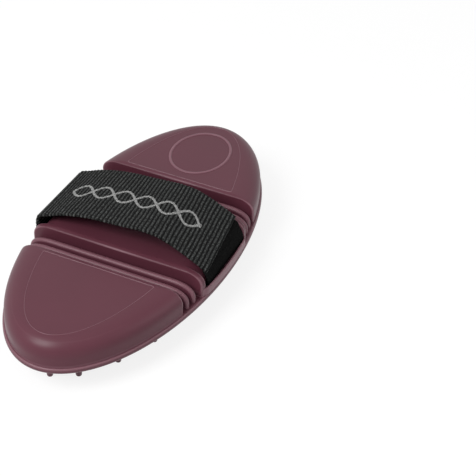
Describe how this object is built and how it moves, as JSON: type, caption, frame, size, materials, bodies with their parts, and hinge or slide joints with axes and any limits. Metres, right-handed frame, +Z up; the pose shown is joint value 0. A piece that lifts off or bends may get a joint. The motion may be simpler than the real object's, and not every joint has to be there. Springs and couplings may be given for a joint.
{
  "type": "rubber curry brush with hand strap",
  "caption": "Oval rubber grooming brush with blunt teeth below, flexing zones across the back, and an arched webbing hand strap that folds open.",
  "frame": {"origin": "centre of the brush in plan, at the tips of the teeth", "axes": "+Z up out of the back, X along the length with +X at the front end, +Y at the hinged end of the strap"},
  "size_m": [0.18, 0.0874, 0.0382],
  "materials": {
    "maroon_rubber": "satin moulded rubber",
    "sole_rubber": "satin moulded rubber",
    "webbing": "ribbed black webbing",
    "strap_tape": "smooth black hook and loop tape",
    "core": "plain moulded plastic",
    "rod": "drawn wire"
  },
  "bodies": {
    "middle": {"middle_back": "maroon_rubber", "middle_core": "core", "middle_sole": "sole_rubber", "strap_tail": "webbing", "strap_loop_tape": "strap_tape", "strap_rod_left": "rod", "strap_rod_right": "rod"},
    "front_flex_strip_inner": {"front_web_inner": "sole_rubber", "front_ridge_inner": "maroon_rubber"},
    "front_flex_strip_outer": {"front_web_outer": "sole_rubber", "front_ridge_outer": "maroon_rubber"},
    "front": {"front_back": "maroon_rubber", "front_core": "core", "front_sole": "sole_rubber"},
    "rear_flex_strip_inner": {"rear_web_inner": "sole_rubber", "rear_ridge_inner": "maroon_rubber"},
    "rear_flex_strip_outer": {"rear_web_outer": "sole_rubber", "rear_ridge_outer": "maroon_rubber"},
    "rear": {"rear_back": "maroon_rubber", "rear_core": "core", "rear_sole": "sole_rubber"},
    "strap": {"strap_band": "webbing", "strap_hook_patch": "strap_tape"}
  },
  "joints": [
    {"name": "front_flex_inner", "type": "hinge", "parent": "middle", "child": "front_flex_strip_inner", "pos_m": [0.0242, 0, 0.0133], "axis": [0, -1, 0], "range_deg": [-8, 8], "stiffness_Nm_per_rad": 0.4},
    {"name": "front_flex_middle", "type": "hinge", "parent": "front_flex_strip_inner", "child": "front_flex_strip_outer", "pos_m": [0.0288, 0, 0.0133], "axis": [0, -1, 0], "range_deg": [-8, 8], "stiffness_Nm_per_rad": 0.4},
    {"name": "front_flex_outer", "type": "hinge", "parent": "front_flex_strip_outer", "child": "front", "pos_m": [0.0334, 0, 0.0133], "axis": [0, -1, 0], "range_deg": [-8, 8], "stiffness_Nm_per_rad": 0.4},
    {"name": "rear_flex_inner", "type": "hinge", "parent": "middle", "child": "rear_flex_strip_inner", "pos_m": [-0.0242, 0, 0.0133], "axis": [0, 1, 0], "range_deg": [-8, 8], "stiffness_Nm_per_rad": 0.4},
    {"name": "rear_flex_middle", "type": "hinge", "parent": "rear_flex_strip_inner", "child": "rear_flex_strip_outer", "pos_m": [-0.0288, 0, 0.0133], "axis": [0, 1, 0], "range_deg": [-8, 8], "stiffness_Nm_per_rad": 0.4},
    {"name": "rear_flex_outer", "type": "hinge", "parent": "rear_flex_strip_outer", "child": "rear", "pos_m": [-0.0334, 0, 0.0133], "axis": [0, 1, 0], "range_deg": [-8, 8], "stiffness_Nm_per_rad": 0.4},
    {"name": "strap_open", "type": "hinge", "parent": "middle", "child": "strap", "pos_m": [0, 0.04235, 0.01735], "axis": [-1, 0, 0], "range_deg": [0, 110]}
  ],
  "couplings": [
    {"joint": "front_flex_middle", "follows": "front_flex_inner", "ratio": 1},
    {"joint": "front_flex_outer", "follows": "front_flex_inner", "ratio": 1},
    {"joint": "rear_flex_middle", "follows": "rear_flex_inner", "ratio": 1},
    {"joint": "rear_flex_outer", "follows": "rear_flex_inner", "ratio": 1}
  ]
}
